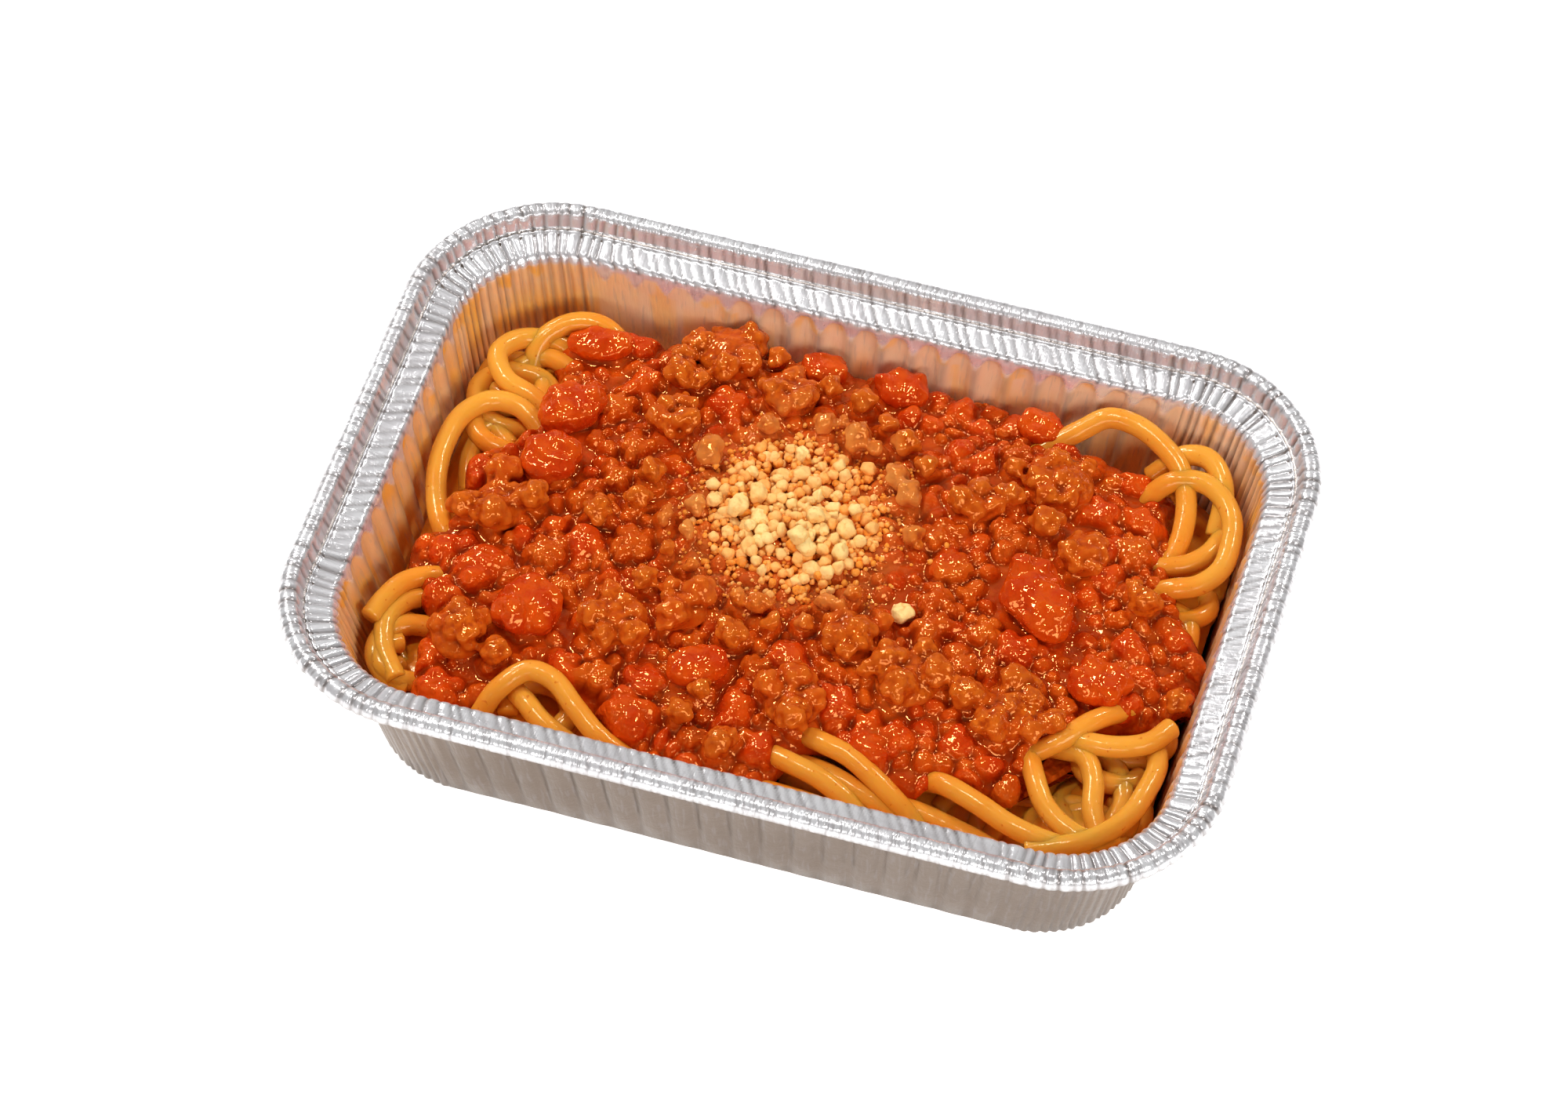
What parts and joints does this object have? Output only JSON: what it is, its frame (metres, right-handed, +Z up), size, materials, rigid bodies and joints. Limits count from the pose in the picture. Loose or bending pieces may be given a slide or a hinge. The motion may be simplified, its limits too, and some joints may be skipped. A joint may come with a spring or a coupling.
{
  "type": "foil tray meal",
  "caption": "Oblong aluminium foil tray with rolled rim, filled with spaghetti in meat sauce topped with a small heap of crumbled cheese.",
  "frame": {"origin": "middle of the tray's flat underside, on the surface it stands on", "axes": "+X along the tray's long side, +Y across it, +Z up out of the tray"},
  "size_m": [0.18, 0.128, 0.044],
  "materials": {
    "foil": "bright wrinkled aluminium foil with pressed flutes, rolled edge and crimped corners",
    "pasta": "soft boiled wheat pasta, golden yellow, slightly wet with sauce",
    "sauce": "thick glossy orange-red tomato and meat sauce",
    "mince": "lumpy cooked minced meat, orange brown, coated with sauce",
    "tomato": "soft wet pieces of cooked tomato, bright red",
    "cheese": "dry crumbled hard cheese, pale cream to amber"
  },
  "bodies": {
    "root": {"foil_tray": "foil", "spaghetti": "pasta", "meat_sauce": "sauce", "tomato_01": "tomato", "tomato_02": "tomato", "tomato_03": "tomato", "tomato_04": "tomato", "tomato_05": "tomato", "tomato_06": "tomato", "tomato_07": "tomato", "tomato_08": "tomato", "tomato_09": "tomato", "tomato_10": "tomato", "mince_01": "mince", "mince_02": "mince", "mince_03": "mince", "mince_04": "mince", "mince_05": "mince", "mince_06": "mince", "mince_07": "mince", "mince_08": "mince", "mince_09": "mince", "mince_10": "mince", "mince_11": "mince", "mince_12": "mince", "mince_13": "mince", "mince_14": "mince", "cheese_crumbs": "cheese"}
  },
  "joints": []
}
